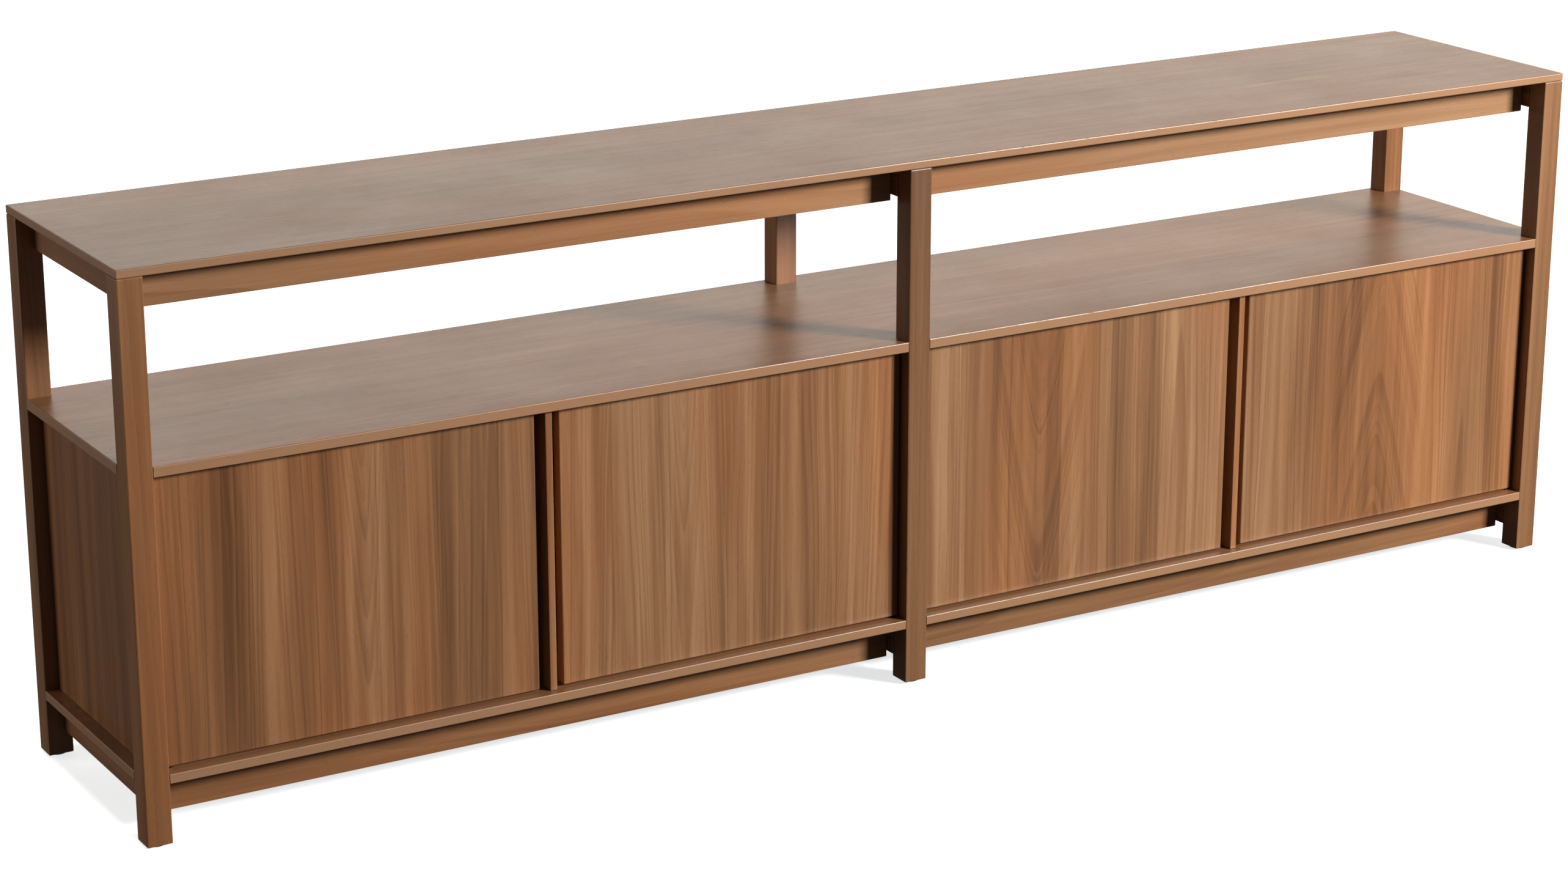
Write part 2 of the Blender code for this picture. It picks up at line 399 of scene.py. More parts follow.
def crown_figure(finish, board, bent):
    """A cathedral: arches that run out along the fibres from one place across the board.
    Gives the arches' lines and how strongly they show."""
    centre, half, apex, slope, spacing, strength = board.crown
    parts = finish.axes(bent)
    sideways = parts[board.across] - centre
    rise = (parts[board.grain] - apex) * slope
    radius = finish.math("SQRT", sideways * sideways + 0.00012)
    lines = ring_lines(finish, radius - rise + 1.0, spacing, board.shift())
    shown = finish.span(finish.math("ABSOLUTE", sideways), half, half * 0.55)
    return lines, shown * strength


def walnut_finish(board, walnut):
    """Sawn or veneered walnut under satin lacquer, for one board."""
    finish = Finish(board.node + "_walnut", walnut.satin, 0.0, walnut.sheen * board.gloss)
    bent = wood_place(finish, board, walnut)
    lines, leaf_tone, joint = leaf_figure(finish, board, walnut, bent)
    broad = finish.noise(bent, board.stretched(12.0, 0.7), board.shift(), 1.0)
    streak = finish.noise(bent, board.stretched(52.0, 1.2), board.shift(), 3.0, 0.6)
    fibre = finish.noise(bent, board.stretched(520.0, 9.0), board.shift(), 2.0, 0.6)
    pore = finish.noise(bent, board.stretched(1500.0, 70.0), board.shift(), 1.0)
    pores = finish.span(pore, 0.64, 0.74)
    if board.crown:
        arches, shown = crown_figure(finish, board, bent)
        lines = lines + (arches - lines) * shown
    shade = (
        (broad - 0.5) * (0.65 * board.streaks)
        + (streak - 0.5) * (0.85 * board.streaks)
        + (fibre - 0.5) * 0.18
        + leaf_tone * board.streaks
        - lines * (0.15 * board.rings)
        + (0.525 + board.tone)
    )
    if board.leaves:
        low, high = board.low[board.across], board.high[board.across]
        over = (finish.axes(bent)[board.across] - low) / (high - low)
        laid = finish.ramp(over, [(at, 0.5 + tone) for at, tone in board.leaves], "CONSTANT")
        shade = shade + (laid - 0.5)
    wood = finish.ramp(shade, [(0.0, walnut.dark[:]), (0.5, walnut.middle[:]), (1.0, walnut.pale[:])])
    cast = finish.noise(bent, board.stretched(5.0, 0.9), board.shift(), 1.0)
    tint = finish.mix((1.07, 0.97, 0.89), (0.95, 1.01, 1.08), finish.span(cast, 0.35, 0.65))
    wood = wood * tint
    if board.bands:
        reach = edge_distance(finish, board)
        edge = banded(finish, finish.math("MINIMUM", reach[board.grain], reach[board.across]))
        wood = finish.mix(wood, walnut.band[:], edge * board.bands)
    wood = finish.mix(wood, walnut.dark[:], pores * 0.35 + joint * 0.4)
    rubbed = finish.noise(finish.place, (38.0, 38.0, 38.0), board.shift(), 3.0)
    wear = arris(finish, board, walnut.arris) * finish.span(rubbed, 0.36, 0.62)
    wood = finish.mix(wood, walnut.worn[:], wear * 0.2)
    finish.set("Base Color", wood)
    handled = finish.noise(finish.place, (6.0, 6.0, 6.0), board.shift(), 3.0, 0.6)
    finish.set(
        "Roughness",
        walnut.satin - 0.06 + handled * 0.12 + pores * 0.12 + wear * 0.10 + (0.5 - fibre) * 0.12,
    )
    finish.bump(fibre * 0.5 - pores * 0.6 - lines * 0.15 - joint * 0.5, 0.35, 0.00025)
    return finish.material


def dress(node, material):
    """Gives a node of the frame its finish."""
    mesh = frame["nodes"][node].data
    mesh.materials.clear()
    mesh.materials.append(material)


def finish_boards(context, prefix, grain, thin, **look):
    """Finishes every board of the frame whose name starts with the prefix."""
    names = [name for name in sorted(frame["nodes"]) if name.startswith(prefix)]
    if not names:
        raise RuntimeError(f"the frame has no board named {prefix}")
    for name in names:
        dress(name, walnut_finish(Board(name, grain, thin, **look), context.scene.walnut))


# ---------------------------------------------------------------- metal and nylon
def steel_finish(name, colour, along):
    """Steel with its plating, drawn or rolled along one axis."""
    finish = Finish(name, 0.3, 1.0)
    chance = random.Random(name)
    fine = [900.0] * 3
    fine[along] = 40.0
    drawn = finish.noise(finish.place, fine, (chance.uniform(1, 9), 4.0, 7.0), 3.0, 0.6)
    cloud = finish.noise(finish.place, (160.0,) * 3, (3.0, chance.uniform(1, 9), 5.0), 4.0, 0.6)
    dull = finish.span(cloud, 0.42, 0.70)
    steel = Vector(colour)
    plated = finish.mix(steel[:], (steel * 0.72)[:], dull)
    finish.set("Base Color", finish.mix(plated, (steel * 0.5)[:], finish.span(drawn, 0.6, 0.8)))
    finish.set("Roughness", drawn * 0.22 + dull * 0.16 + 0.14)
    finish.bump(drawn + cloud * 0.4, 0.25, 0.00008)
    return finish.material


def nylon_finish(name, fittings):
    """Dark moulded nylon: fine spark-eroded texture, slightly paler where it is rubbed."""
    finish = Finish(name, 0.5)
    grit = finish.noise(finish.place, (2600.0,) * 3, (2.0, 5.0, 8.0), 2.0)
    cloud = finish.noise(finish.place, (90.0,) * 3, (6.0, 1.0, 3.0), 4.0, 0.6)
    nylon = Vector(fittings.nylon)
    rubbed = finish.span(cloud, 0.45, 0.75)
    finish.set("Base Color", finish.mix(nylon[:], (nylon * 2.6)[:], rubbed * 0.7))
    finish.set("Roughness", grit * 0.16 + cloud * 0.2 + 0.34)
    finish.bump(grit, 0.3, 0.00006)
    return finish.material


# ---------------------------------------------------------------- modelling by hand
def deselect():
    if bpy.context.mode != "OBJECT":
        bpy.ops.object.mode_set(mode="OBJECT")
    bpy.ops.object.select_all(action="DESELECT")


def begin_block(name, size, centre):
    """A cube primitive at its size and place, left in edit mode to be shaped."""
    deselect()
    bpy.ops.mesh.primitive_cube_add(size=1.0, location=centre, scale=size)
    return enter(name)


def begin_disc(name, radius, depth, centre, turn=(0.0, 0.0, 0.0), sides=28):
    """A cylinder primitive at its size and place, left in edit mode to be shaped."""
    deselect()
    bpy.ops.mesh.primitive_cylinder_add(
        vertices=sides, radius=radius, depth=depth, location=centre, rotation=turn
    )
    return enter(name)


def enter(name):
    piece = bpy.context.object
    piece.name = piece.data.name = name
    bpy.ops.object.transform_apply(location=True, rotation=True, scale=True)
    bpy.ops.object.mode_set(mode="EDIT")
    return piece


def pick(kind, test):
    """Selects, in edit mode, only the faces or edges that pass the test."""
    faces = kind == "faces"
    bpy.context.tool_settings.mesh_select_mode = (False, not faces, faces)
    mesh = bmesh.from_edit_mesh(bpy.context.object.data)
    for item in (*mesh.faces, *mesh.edges, *mesh.verts):
        item.select = False
    chosen = [item for item in getattr(mesh, kind) if test(item)]
    if not chosen:
        raise RuntimeError(f"{bpy.context.object.name}: nothing to pick")
    for item in chosen:
        item.select_set(True)
    mesh.select_flush_mode()
    bmesh.update_edit_mesh(bpy.context.object.data)


def facing(direction):
    """Faces that look along a direction."""
    way = Vector(direction).normalized()
    return lambda face: face.normal.dot(way) > 0.98


def running(axis):
    """Edges that run along an axis."""
    def test(edge):
        a, b = (vertex.co for vertex in edge.verts)
        return abs((b - a).normalized()[axis]) > 0.99
    return test


def extrude(way):
    bpy.ops.mesh.extrude_region_move(TRANSFORM_OT_translate={"value": way})


def complete(piece, material, body, width=0.3 * MM, segments=2, smooth=35.0):
    """Leaves edit mode, breaks the arrises, shades the piece and hangs it on its body."""
    bpy.ops.mesh.select_all(action="SELECT")
    bpy.ops.mesh.remove_doubles(threshold=1e-6)
    bpy.ops.mesh.normals_make_consistent(inside=False)
    bpy.ops.object.mode_set(mode="OBJECT")
    if width:
        step = piece.modifiers.new("arris", "BEVEL")
        step.width = width
        step.segments = segments
        step.limit_method = "ANGLE"
        step.angle_limit = math.radians(35.0)
        bpy.ops.object.modifier_apply(modifier=step.name)
    bpy.ops.object.shade_smooth_by_angle(angle=math.radians(smooth))
    bpy.ops.object.transform_apply(location=True, rotation=True, scale=True)
    piece.data.materials.clear()
    piece.data.materials.append(material)
    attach(piece, body)
    return piece


def cut(piece, cutter):
    """Takes the cutter's shape out of the piece."""
    deselect()
    step = piece.modifiers.new("cut", "BOOLEAN")
    step.operation = "DIFFERENCE"
    step.object = cutter
    bpy.context.view_layer.objects.active = piece
    piece.select_set(True)
    bpy.ops.object.modifier_apply(modifier=step.name)
    bpy.data.objects.remove(cutter, do_unlink=True)


def copy_of(piece, name, change, body=None):
    """A copy with its own mesh, moved by a matrix that ends up in its points."""
    twin = piece.copy()
    twin.data = piece.data.copy()
    twin.name = twin.data.name = name
    bpy.context.scene.collection.objects.link(twin)
    twin.data.transform(change)
    if change.determinant() < 0:
        twin.data.flip_normals()
    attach(twin, body or piece["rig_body"])
    return twin


def cross_recess(piece, centre, out, reach, depth):
    """Cuts a cross recess for a screwdriver into a head; out is the way the head faces."""
    wide = Vector((1, 1, 1)) - Vector([abs(part) for part in out])
    for number, way in enumerate([i for i in range(3) if wide[i] > 0.5]):
        size = [0.22 * reach] * 3
        size[way] = reach
        size[[i for i in range(3) if wide[i] < 0.5][0]] = depth * 2
        bar = begin_block(f"{piece.name}_bit_{number}", size, centre)
        cut(piece, bar)


# ---------------------------------------------------------------- fittings
def pan_head_screw(name, radius, place, material):
    """A pan head that stands on the back panel, looking along +Y, with a cross recess."""
    height = radius * 0.55
    centre = Vector(place) + Vector((0, height / 2, 0))
    screw = begin_disc(name, radius, height, centre, (math.radians(-90), 0, 0))
    pick("faces", facing((0, 1, 0)))
    bpy.ops.mesh.inset(thickness=radius * 0.22)
    bpy.ops.transform.translate(value=(0, radius * 0.10, 0))
    bpy.ops.mesh.inset(thickness=radius * 0.26)
    bpy.ops.transform.translate(value=(0, radius * 0.05, 0))
    bpy.ops.object.mode_set(mode="OBJECT")
    face = Vector(place) + Vector((0, height + radius * 0.15, 0))
    cross_recess(screw, face, (0, 1, 0), radius * 1.05, radius * 0.35)
    bpy.ops.object.mode_set(mode="EDIT")
    return complete(screw, material, "case", radius * 0.04)


class CABINET_OT_frame(bpy.types.Operator):
    """Finishes the six posts and the rails between them in solid walnut"""

    bl_idname = "cabinet.frame"
    bl_label = "Posts and rails"

    # How much lighter or darker each board is than the rest.
    posts = {
        "post_front_left": 0.02, "post_front_centre": -0.17, "post_front_right": -0.04,
        "post_back": -0.08,
    }
    rails = {"upper_rail": 0.17, "lower_rail": 0.02}

    def execute(self, context):
        for prefix, tone in self.posts.items():
            finish_boards(context, prefix, Z, X, rings=0.6, streaks=0.6, tone=tone)
        for prefix in ("upper_cross", "lower_cross"):
            finish_boards(context, prefix, Y, X, rings=0.8, streaks=0.7, tone=-0.12)
        for prefix, tone in self.rails.items():
            finish_boards(context, prefix, X, Y, rings=0.8, streaks=0.7, tone=tone)
        return {"FINISHED"}


class CABINET_OT_tops(bpy.types.Operator):
    """Finishes the top, the open shelf and the bottom in lengthwise veneer"""

    bl_idname = "cabinet.tops"
    bl_label = "Top, shelf and bottom"

    def execute(self, context):
        for prefix in ("top_panel", "shelf_panel", "bottom_panel"):
            finish_boards(
                context, prefix, X, Z, veneered=True, rings=0.55, streaks=0.5, gloss=1.3, bands=0.7
            )
        return {"FINISHED"}


class CABINET_OT_case(bpy.types.Operator):
    """Finishes the end panels, the walls inside the bays, the backs and the inner shelves"""

    bl_idname = "cabinet.case"
    bl_label = "Case"

    def execute(self, context):
        finish_boards(context, "end_panel", Z, X, veneered=True, tone=-0.04, streaks=0.8)
        finish_boards(context, "back_panel", Z, Y, veneered=True, tone=-0.02, gloss=0.8)
        for prefix in ("centre_partition", "divider"):
            finish_boards(context, prefix, Z, X, veneered=True, gloss=0.8)
        finish_boards(context, "inner_shelf", X, Z, veneered=True, gloss=0.8)
        return {"FINISHED"}


class CABINET_OT_doors(bpy.types.Operator):
    """Finishes each door in upright leaves of veneer, and the stile between each pair"""

    bl_idname = "cabinet.doors"
    bl_label = "Doors and stiles"

    # Where each leaf starts, as a share of the door's width, and how light it is.
    leaves = {
        "door_1": ((0, 0.03), (0.05, -0.03), (0.14, -0.09), (0.29, -0.02), (0.46, 0.10),
                   (0.60, 0.0), (0.72, -0.07), (0.90, 0.0)),
        "door_2": ((0, 0.03), (0.15, 0.0), (0.29, 0.11), (0.42, 0.01), (0.60, -0.05),
                   (0.78, 0.06)),
        "door_3": ((0, 0.06), (0.16, -0.02), (0.56, 0.02), (0.77, 0.09), (0.86, 0.03)),
        "door_4": ((0, 0.07), (0.27, 0.02), (0.62, 0.05), (0.73, -0.01), (0.80, 0.05)),
    }
    # Across from the left edge, half width, height of the apex, slope, spacing, strength.
    crowns = {
        "door_1": (0.302, 0.042, 0.20, 0.06, 0.0065, 0.9),
        "door_2": (0.200, 0.040, 0.40, 0.06, 0.0065, 0.9),
        "door_3": (0.215, 0.105, 0.22, 0.21, 0.0160, 1.0),
        "door_4": (0.270, 0.110, 0.40, -0.24, 0.0170, 1.0),
    }

    def execute(self, context):
        for name, leaves in self.leaves.items():
            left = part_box(name)[0][X]
            crown = (left + self.crowns[name][0], *self.crowns[name][1:])
            finish_boards(context, name, Z, Y, veneered=True, leaves=leaves, crown=crown)
        finish_boards(context, "stile", Z, X, tone=0.02, rings=0.6)
        return {"FINISHED"}


class CABINET_OT_hardware(bpy.types.Operator):
    """Finishes the hinge pins in nearly black steel, which is painted shade of the gap under the
    doors, and the glides in nylon
    """

    bl_idname = "cabinet.hardware"
    bl_label = "Pins and glides"

    def execute(self, context):
        fittings = context.scene.fittings
        # The pins' nearly black steel is painted shade: it makes them read as the shaded gap under the
        # doors.
        steel = steel_finish("blackened_steel", fittings.pins, Z)
        nylon = nylon_finish("glide_nylon", fittings)
        for name in frame["nodes"]:
            if name.startswith("hinge_pin"):
                dress(name, steel)
            elif name.startswith("glide"):
                dress(name, nylon)
        return {"FINISHED"}


class CABINET_OT_grommets(bpy.types.Operator):
    """Lines each cable slot in the back panels with a moulded grommet"""

    bl_idname = "cabinet.grommets"
    bl_label = "Cable grommets"

    slot_size = (0.110, 0.050)
    slot_height = 0.205
    slot_radius = 0.024
    fit = 0.2 * MM

    def execute(self, context):
        fittings = context.scene.fittings
        nylon = nylon_finish("grommet_nylon", fittings)
        low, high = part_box("back_panel_left")
        quarter = (high[X] - low[X]) / 4
        first = low[X] + quarter
        rim = 1.5 * MM
        lap = fittings.flange
        size = (self.slot_size[0] + 2 * lap, rim, self.slot_size[1] + 2 * lap)
        centre = (first, high[Y] + self.fit + rim / 2, self.slot_height)
        grommet = begin_block("cable_grommet_1", size, centre)
        pick("edges", running(Y))
        bpy.ops.mesh.bevel(offset=self.slot_radius + lap - MM, segments=9, affect="EDGES")
        pick("faces", facing((0, -1, 0)))
        bpy.ops.mesh.inset(thickness=lap + self.fit)
        extrude((0, -(high[Y] - low[Y]) - self.fit, 0))
        bpy.ops.mesh.inset(thickness=fittings.wall)
        pick("faces", facing((0, 1, 0)))
        bpy.ops.mesh.inset(thickness=lap + self.fit + fittings.wall)
        half = self.slot_size[0] / 2 - fittings.wall

        def mouth(face):
            flat = abs(face.normal.y) > 0.98 and len(face.verts) > 8
            return flat and (face.calc_center_median() - Vector(centre)).xz.length < half * 0.2

        pick("faces", mouth)
        bpy.ops.mesh.bridge_edge_loops()
        made = complete(grommet, nylon, "case", 0.4 * MM, 2, 40.0)
        for number, x in enumerate((first + 2 * quarter, -first - 2 * quarter, -first), 2):
            move = Matrix.Translation((x - first, 0, 0))
            copy_of(made, f"cable_grommet_{number}", move)
        return {"FINISHED"}


class CABINET_OT_back_screws(bpy.types.Operator):
    """Screws the back panels to the case with pan head screws"""

    bl_idname = "cabinet.back_screws"
    bl_label = "Back screws"

    margin = 9.0 * MM

    def execute(self, context):
        fittings = context.scene.fittings
        steel = steel_finish("screw_steel", fittings.steel, X)
        first = None
        number = 0
        for side in ("left", "right"):
            low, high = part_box(f"back_panel_{side}")
            columns = [low[X] + self.margin, (low[X] + high[X]) / 2, high[X] - self.margin]
            rows = [low[Z] + self.margin, (low[Z] + high[Z]) / 2, high[Z] - self.margin]
            for x in columns:
                for z in rows:
                    number += 1
                    place = Vector((x, high[Y] + 0.1 * MM, z))
                    name = f"back_screw_{number:02d}"
                    if first is None:
                        first = pan_head_screw(name, fittings.head / 2, place, steel)
                        origin = place
                        continue
                    turn = Matrix.Rotation(random.Random(name).uniform(0, math.pi), 4, "Y")
                    move = Matrix.Translation(place) @ turn @ Matrix.Translation(-origin)
                    copy_of(first, name, move)
        return {"FINISHED"}


class CABINET_OT_catches(bpy.types.Operator):
    """Adds a magnetic catch under the shelf behind each door, and its strike plate on the door"""

    bl_idname = "cabinet.catches"
    bl_label = "Magnetic catches"

    inset = 0.052
    height = 0.0115
    depth = 0.0150
    ear = 0.0080
    gap = 0.4 * MM
    plate_outline = (0.030, 0.012)

    def body(self, fittings, x, front, under, nylon):
        """The moulded case: a block with two thin rounded ears along the shelf."""
        size = (fittings.catch, self.depth, self.height)
        centre = (x, front + self.depth / 2, under - self.height / 2)
        catch = begin_block("catch_1", size, centre)
        thin = under - 2.4 * MM
        bpy.ops.mesh.select_all(action="SELECT")
        bpy.ops.mesh.bisect(plane_co=(x, front, thin), plane_no=(0, 0, 1))
        for way in (-1, 1):
            pick("faces", lambda face, way=way: face.normal.x * way > 0.98
                 and face.calc_center_median().z > thin)
            extrude((way * self.ear, 0, 0))
        reach = fittings.catch / 2 + self.ear
        pick("edges", lambda edge: running(Z)(edge)
             and abs(abs(edge.verts[0].co.x - x) - reach) < 1e-5)
        bpy.ops.mesh.bevel(offset=4.0 * MM, segments=5, affect="EDGES")
        pick("faces", lambda face: face.normal.y < -0.98 and face.calc_center_median().z < thin)
        bpy.ops.mesh.inset(thickness=1.6 * MM)
        extrude((0, 1.2 * MM, 0))
        return complete(catch, nylon, "case", 0.35 * MM)

    def poles(self, fittings, x, front, under, steel):
        """Two steel pole shoes on one magnet, standing just out of the case."""
        wide = fittings.catch - 5.0 * MM
        tall = self.height - 6.4 * MM
        low = under - self.height + 2.2 * MM
        centre = (x, front + 1.0 * MM, low + tall / 2)
        shoes = begin_block("catch_poles_1", (wide, 2.4 * MM, tall), centre)
        for level in (low + 1.3 * MM, low + tall - 1.3 * MM):
            bpy.ops.mesh.select_all(action="SELECT")
            bpy.ops.mesh.bisect(plane_co=(x, front, level), plane_no=(0, 0, 1))
        pick("faces", lambda face: face.normal.y < -0.98
             and abs(face.calc_center_median().z - (low + tall / 2)) < 0.4 * MM)
        extrude((0, 0.8 * MM, 0))
        return complete(shoes, steel, "case", 0.12 * MM)

    def plate(self, fittings, x, back, under, body, steel):
        """The strike plate, with rounded corners and two countersunk screws."""
        size = (self.plate_outline[0], fittings.plate, self.plate_outline[1])
        centre = Vector((x, back + fittings.plate / 2 + 0.05 * MM, under - self.height / 2 - MM))
        plate = begin_block("strike_plate_1", size, centre)
        pick("edges", running(Y))
        bpy.ops.mesh.bevel(offset=2.5 * MM, segments=5, affect="EDGES")
        bpy.ops.object.mode_set(mode="OBJECT")
        for way in (-1, 1):
            spot = centre + Vector((way * 9.5 * MM, fittings.plate / 2, 0))
            sink = begin_disc("sink", 2.7 * MM, 1.2 * MM, spot, (math.radians(-90), 0, 0), 24)
            pick("faces", facing((0, -1, 0)))
            bpy.ops.transform.resize(value=(0.45, 1.0, 0.45))
            cut(plate, sink)
        bpy.ops.object.mode_set(mode="EDIT")
        return complete(plate, steel, body, 0.12 * MM)

    def execute(self, context):
        fittings = context.scene.fittings
        nylon = nylon_finish("catch_nylon", fittings)
        steel = steel_finish("catch_steel", fittings.steel, X)
        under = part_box("shelf_panel")[0][Z] - 0.2 * MM
        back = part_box("door_1")[1][Y]
        front = back + fittings.plate + self.gap + 0.6 * MM
        places = []
        for number in range(1, 5):
            low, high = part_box(f"door_{number}")
            free_at_right = number in (1, 3)
            places.append(high[X] - self.inset if free_at_right else low[X] + self.inset)
        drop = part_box("shelf_panel")[0][Z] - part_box("door_1")[1][Z]
        made = (
            self.body(fittings, places[0], front, under, nylon),
            self.poles(fittings, places[0], front, under, steel),
            self.plate(fittings, places[0], back, under - drop, "leaf_1", steel),
        )
        for number, place in enumerate(places[1:], 2):
            move = Matrix.Translation((place - places[0], 0, 0))
            for piece in made:
                body = f"leaf_{number}" if piece.name.startswith("strike") else "case"
                copy_of(piece, piece.name.replace("_1", f"_{number}"), move, body)
        return {"FINISHED"}


class CABINET_OT_brackets(bpy.types.Operator):
    """Fixes the top to the long rails with small folded steel brackets"""

    bl_idname = "cabinet.brackets"
    bl_label = "Top brackets"

    width = 0.022
    sheet = 1.6 * MM
    shares = (0.18, 0.82)

    def execute(self, context):
        fittings = context.scene.fittings
        steel = steel_finish("bracket_steel", fittings.steel, X)
        low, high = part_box("upper_rail_front_left")
        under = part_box("top_panel")[0][Z] - 0.2 * MM
        rail = high[Y] + 0.2 * MM
        leg = fittings.bracket
        x = low[X] + (high[X] - low[X]) * self.shares[0]
        size = (self.width, self.sheet, leg)
        bracket = begin_block(
            "top_bracket_1", size, (x, rail + self.sheet / 2, under - leg / 2)
        )
        bpy.ops.mesh.select_all(action="SELECT")
        bend = under - self.sheet
        bpy.ops.mesh.bisect(plane_co=(x, rail, bend), plane_no=(0, 0, 1))
        pick("faces", lambda face: face.normal.y > 0.98 and face.calc_center_median().z > bend)
        extrude((0, leg - self.sheet, 0))
        corners = (
            lambda edge: running(Y)(edge) and edge.verts[0].co.z < under - leg + 1e-5,
            lambda edge: running(Z)(edge) and edge.verts[0].co.y > rail + leg - 1e-5,
        )
        for test in corners:
            pick("edges", test)
            bpy.ops.mesh.bevel(offset=4.0 * MM, segments=5, affect="EDGES")
        bpy.ops.object.mode_set(mode="OBJECT")
        made = self.heads(bracket, x, rail, under, leg, steel)
        rails = (("front_left", 1), ("front_right", 1), ("back_left", -1), ("back_right", -1))
        middle = (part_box("upper_rail_front_left")[1][Y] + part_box("upper_rail_back_left")[0][Y]) / 2
        number = 1
        for name, way in rails:
            low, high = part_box("upper_rail_" + name)
            for share in self.shares:
                target = low[X] + (high[X] - low[X]) * share
                if name == "front_left" and share == self.shares[0]:
                    continue
                number += 1
                move = Matrix.Translation((target - x, 0, 0))
                if way < 0:
                    mirror = Matrix.Diagonal((1, -1, 1, 1))
                    shift = Matrix.Translation((0, 2 * middle, 0))
                    move = move @ shift @ mirror
                copy_of(made, f"top_bracket_{number}", move)
        return {"FINISHED"}

    def heads(self, bracket, x, rail, under, leg, steel):
        """A screw through each leg: one into the rail, one up into the top."""
        parts = [bracket]
        for name, centre, out in (
            ("rail_head", Vector((x, rail + self.sheet + 0.7 * MM, under - leg * 0.62)), (0, 1, 0)),
            ("top_head", Vector((x, rail + leg * 0.62, under - self.sheet - 0.7 * MM)), (0, 0, -1)),
        ):
            turn = (math.radians(-90), 0, 0) if out[1] else (math.radians(180), 0, 0)
            head = begin_disc(name, 3.2 * MM, 1.4 * MM, centre, turn, 24)
            pick("faces", facing(out))
            bpy.ops.mesh.inset(thickness=0.9 * MM)
            bpy.ops.transform.translate(value=Vector(out) * 0.5 * MM)
            bpy.ops.object.mode_set(mode="OBJECT")
            face = centre + Vector(out) * 1.2 * MM
            cross_recess(head, face, out, 3.4 * MM, 1.2 * MM)
            parts.append(head)
        deselect()
        for part in parts:
            part.select_set(True)
        bpy.context.view_layer.objects.active = bracket
        bpy.ops.object.join()
        bpy.ops.object.mode_set(mode="EDIT")
        return complete(bracket, steel, "case", 0.15 * MM)


# ---------------------------------------------------------------- studio
def area_light(name, place, target, size, power, tint):
    data = bpy.data.lights.new(name, "AREA")
    data.shape = "RECTANGLE"
    data.size, data.size_y = size
    data.energy = power
    data.color = tint
    lamp = bpy.data.objects.new(name, data)
    bpy.context.scene.collection.objects.link(lamp)
    lamp.location = place
    lamp.rotation_euler = (Vector(target) - Vector(place)).to_track_quat("-Z", "Y").to_euler()
    lamp.visible_camera = False
    return lamp


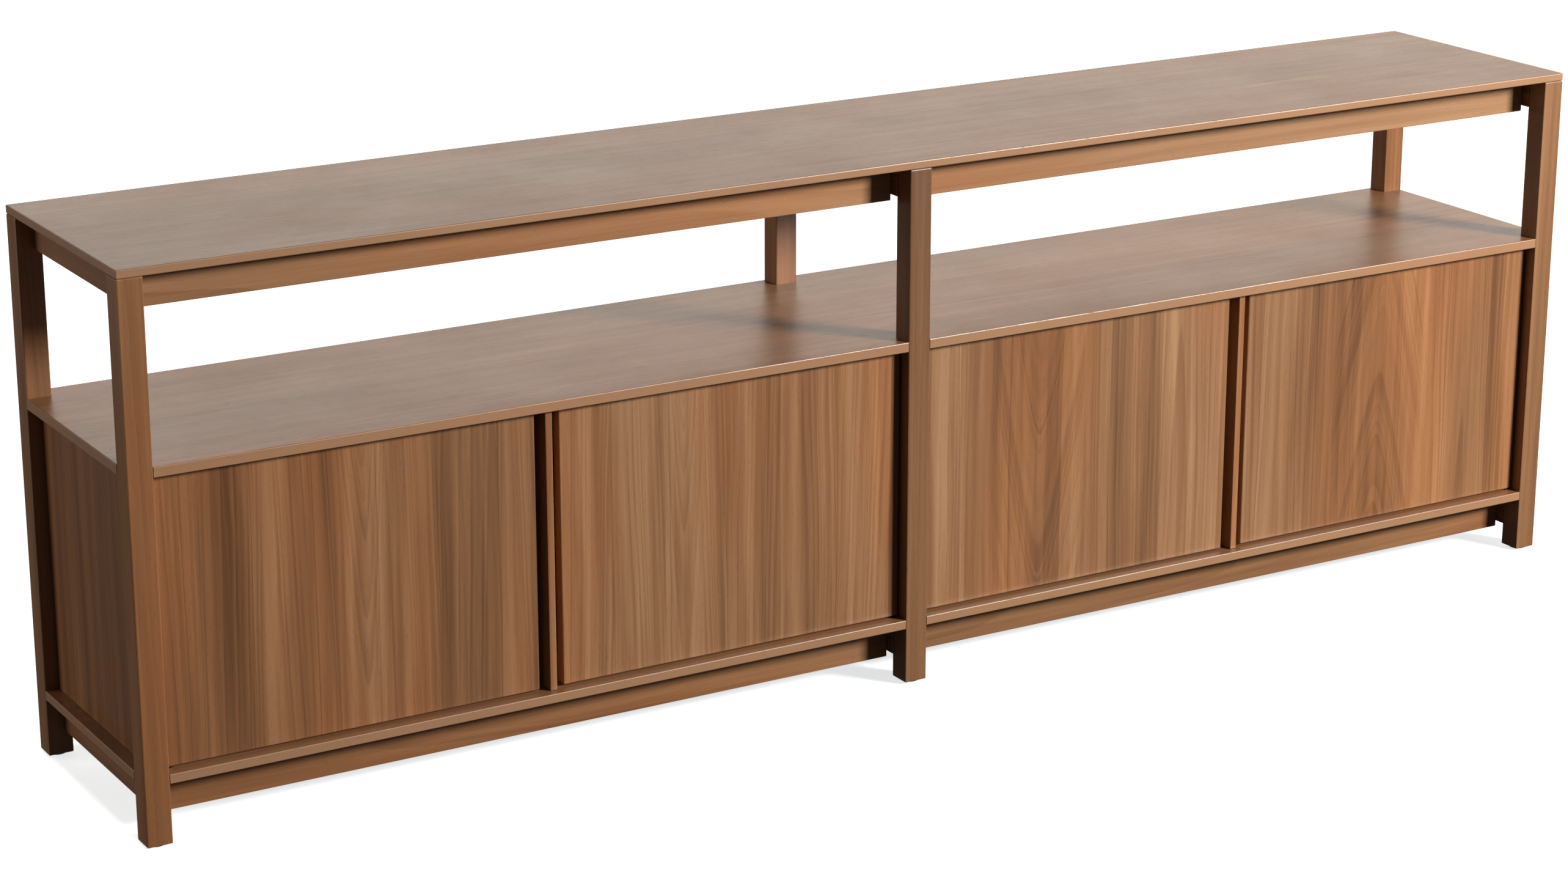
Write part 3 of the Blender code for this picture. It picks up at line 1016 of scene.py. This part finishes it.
class CABINET_OT_studio(bpy.types.Operator):
    """Lays the pale floor, hangs the soft lights and sets up the camera"""

    bl_idname = "cabinet.studio"
    bl_label = "Studio"

    soft_white = (1.0, 0.97, 0.93)

    def sweep(self, studio):
        """A round floor whose rim curves up into a wall. Only the camera sees it, so its glow
        throws no light on the cabinet and hides none."""
        deselect()
        bpy.ops.mesh.primitive_circle_add(vertices=64, radius=studio.sweep, fill_type="NGON")
        sweep = enter("studio_sweep")
        bpy.ops.mesh.select_all(action="SELECT")
        steps = 8
        for step in range(steps):
            turn = math.radians(90) * (step + 0.5) / steps
            rise = studio.sweep * 0.2 * math.sin(turn)
            spread = 1.0 + 0.14 * math.cos(turn) / (1.0 + 0.14 * step)
            bpy.ops.mesh.extrude_region_move(TRANSFORM_OT_translate={"value": (0, 0, rise)})
            bpy.ops.transform.resize(value=(spread, spread, 1.0))
        bpy.ops.mesh.delete(type="ONLY_FACE")
        bpy.ops.mesh.select_all(action="SELECT")
        bpy.ops.mesh.normals_make_consistent(inside=True)
        bpy.ops.object.mode_set(mode="OBJECT")
        finish = Finish("pale_floor", 0.85, 0.0, 0.1)
        soft = finish.noise(finish.place, (0.6,) * 3, (1.0, 2.0, 3.0), 3.0)
        pale = Vector(studio.floor_colour)
        finish.set("Base Color", finish.mix(pale[:], (pale * 0.97)[:], soft))
        finish.set("Emission Color", (0.985, 1.0, 1.0))
        finish.set("Emission Strength", studio.glow)
        sweep.data.materials.append(finish.material)
        sweep.visible_diffuse = False
        sweep.visible_glossy = False
        sweep.visible_transmission = False
        sweep.visible_shadow = False

    def overhead(self, context, studio):
        """A light from straight above for the floor alone, which shades it under the cabinet."""
        lamp = bpy.data.objects.new("overhead_light", bpy.data.lights.new("overhead_light", "SUN"))
        lamp.data.energy = studio.overhead
        lamp.data.angle = math.radians(12)
        context.scene.collection.objects.link(lamp)
        floor_only = bpy.data.collections.new("floor_only")
        floor_only.objects.link(bpy.data.objects["studio_sweep"])
        lamp.light_linking.receiver_collection = floor_only

    def world(self, context, studio):
        world = bpy.data.worlds.new("studio_fill")
        context.scene.world = world
        world.use_nodes = True
        sky = world.node_tree.nodes["Background"]
        sky.inputs["Color"].default_value = (*self.soft_white, 1.0)
        sky.inputs["Strength"].default_value = studio.fill

    def camera(self, context, studio):
        data = bpy.data.cameras.new("studio_camera")
        data.lens = studio.lens
        data.sensor_width = 36.0
        data.dof.use_dof = False
        camera = bpy.data.objects.new("studio_camera", data)
        context.scene.collection.objects.link(camera)
        camera.location = studio.eye
        camera.rotation_euler = (math.radians(90) - studio.pitch, 0.0, -studio.yaw)
        context.scene.camera = camera

    def execute(self, context):
        studio = context.scene.studio
        self.sweep(studio)
        self.world(context, studio)
        aim = (0.0, 0.0, 0.45)
        area_light("key_light", (3.2, -4.2, 2.45), aim, (1.1, 0.9), studio.key, self.soft_white)
        area_light("rear_light", (2.6, 5.0, 2.3), aim, (9.0, 3.4), studio.rear, (1.0, 0.93, 0.84))
        area_light("side_light", (-4.6, 2.4, 1.1), aim, (2.6, 2.2), studio.side, (1.0, 0.93, 0.85))
        self.overhead(context, studio)
        self.camera(context, studio)
        context.scene.view_settings.view_transform = "Standard"
        return {"FINISHED"}


# ---------------------------------------------------------------- add-on
STEPS = (
    CABINET_OT_studio,
    CABINET_OT_frame,
    CABINET_OT_tops,
    CABINET_OT_case,
    CABINET_OT_doors,
    CABINET_OT_hardware,
    CABINET_OT_grommets,
    CABINET_OT_back_screws,
    CABINET_OT_catches,
    CABINET_OT_brackets,
)


class CABINET_PT_panel(bpy.types.Panel):
    """Lists the steps that make the cabinet"""

    bl_label = "Media cabinet"
    bl_idname = "CABINET_PT_panel"
    bl_space_type = "VIEW_3D"
    bl_region_type = "UI"
    bl_category = "Cabinet"

    def draw(self, context):
        for step in STEPS:
            self.layout.operator(step.bl_idname)
        for group in (context.scene.walnut, context.scene.fittings, context.scene.studio):
            box = self.layout.box()
            for name in group.__annotations__:
                box.prop(group, name)


CLASSES = (WalnutSettings, FittingSettings, StudioSettings, *STEPS, CABINET_PT_panel)


def register():
    for made in CLASSES:
        bpy.utils.register_class(made)
    bpy.types.Scene.walnut = PointerProperty(type=WalnutSettings)
    bpy.types.Scene.fittings = PointerProperty(type=FittingSettings)
    bpy.types.Scene.studio = PointerProperty(type=StudioSettings)


def unregister():
    for name in ("walnut", "fittings", "studio"):
        delattr(bpy.types.Scene, name)
    for made in reversed(CLASSES):
        bpy.utils.unregister_class(made)


def main():
    register()
    for step in STEPS:
        group, name = step.bl_idname.split(".")
        getattr(getattr(bpy.ops, group), name)()
    deselect()


if __name__ == "__main__":
    main()
